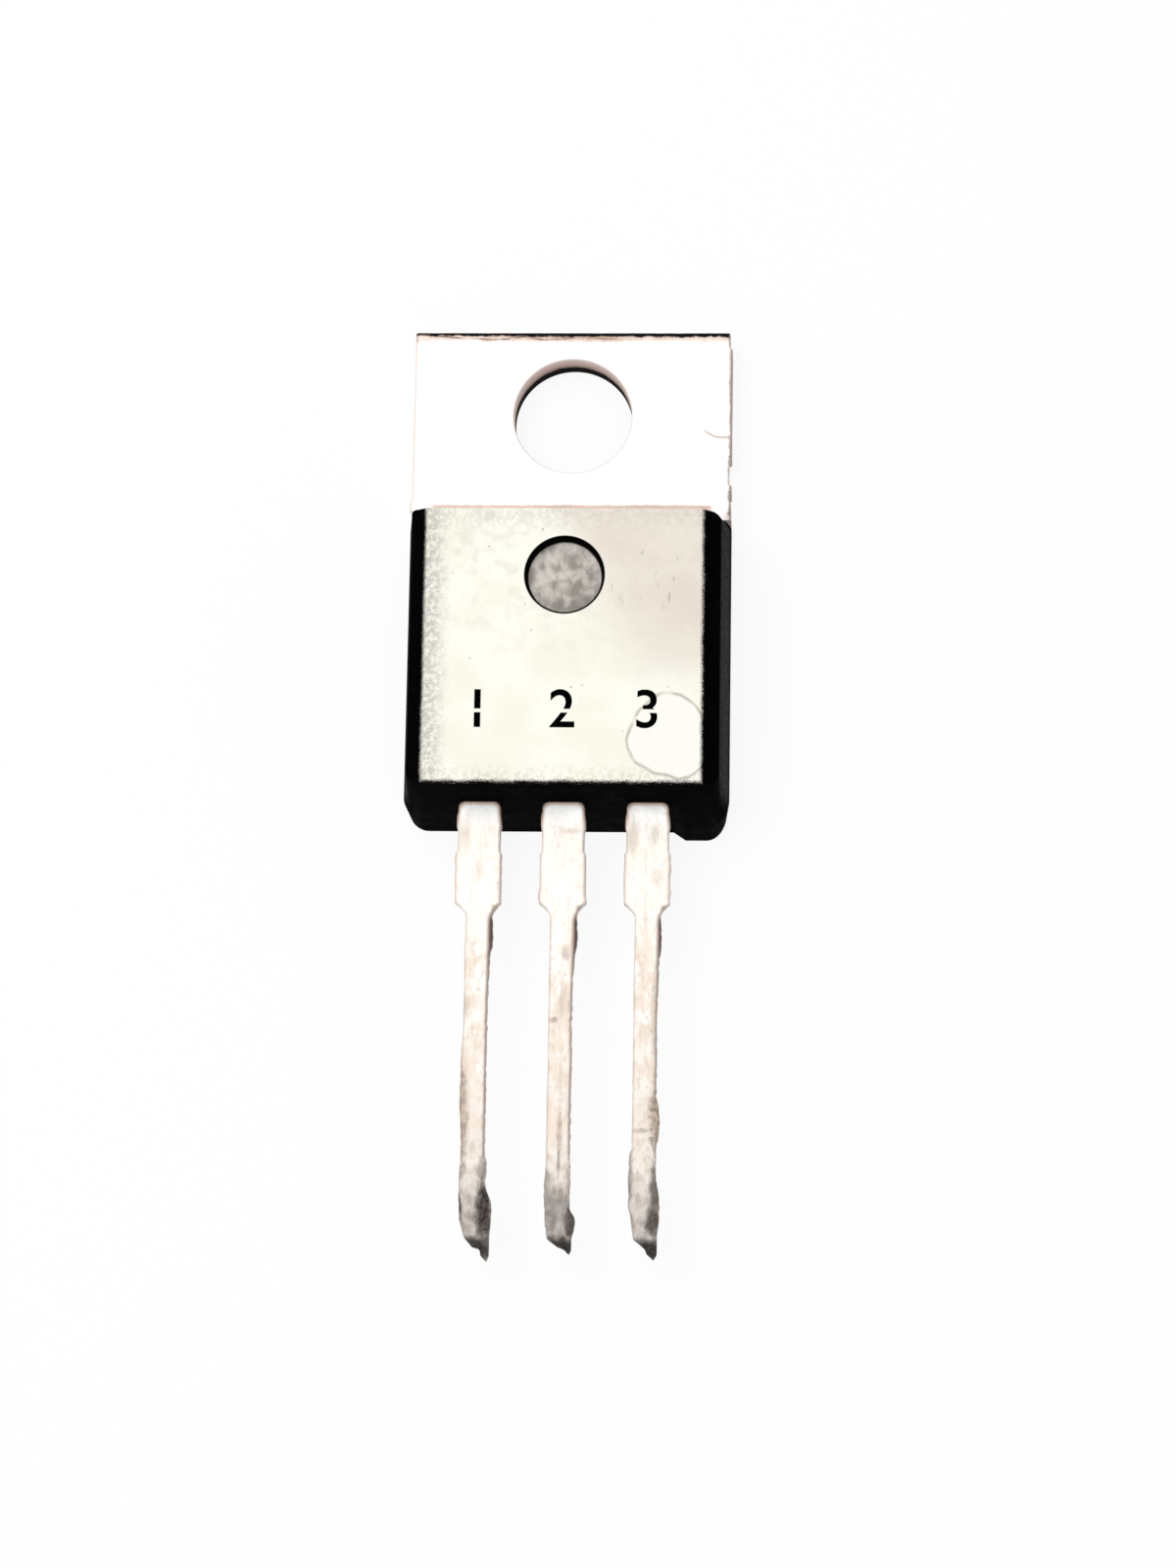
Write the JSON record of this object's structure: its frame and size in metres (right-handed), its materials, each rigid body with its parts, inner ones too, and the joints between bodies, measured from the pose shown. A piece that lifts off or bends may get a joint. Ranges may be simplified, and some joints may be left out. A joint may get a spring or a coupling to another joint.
{
  "type": "darlington transistor",
  "caption": "Power transistor in a flat moulded body, with a drilled metal tab at one end and a row of straight leads at the other.",
  "frame": {"origin": "centre of the mounting hole, on the back face of the tab", "axes": "+Z along the mounting hole, out of the front face; +Y towards the tab's free edge, so the leads run towards -Y; +X to the right seen from the front"},
  "size_m": [0.01, 0.0291, 0.0045],
  "materials": {
    "plated_copper": "satin nickel plating",
    "body_plastic": "matte moulded epoxy",
    "lead_tin": "satin tin",
    "silicon": "polished",
    "soft_solder": "satin",
    "bond_aluminium": "satin",
    "old_solder": "dull"
  },
  "bodies": {
    "root": {"tab_and_middle_lead": "plated_copper", "moulded_body": "body_plastic", "base_lead": "lead_tin", "emitter_lead": "lead_tin", "chip": "silicon", "chip_solder": "soft_solder", "base_wire": "bond_aluminium", "emitter_wire": "bond_aluminium", "base_tip_solder": "old_solder", "middle_tip_solder": "old_solder", "emitter_tip_solder": "old_solder"}
  },
  "joints": []
}
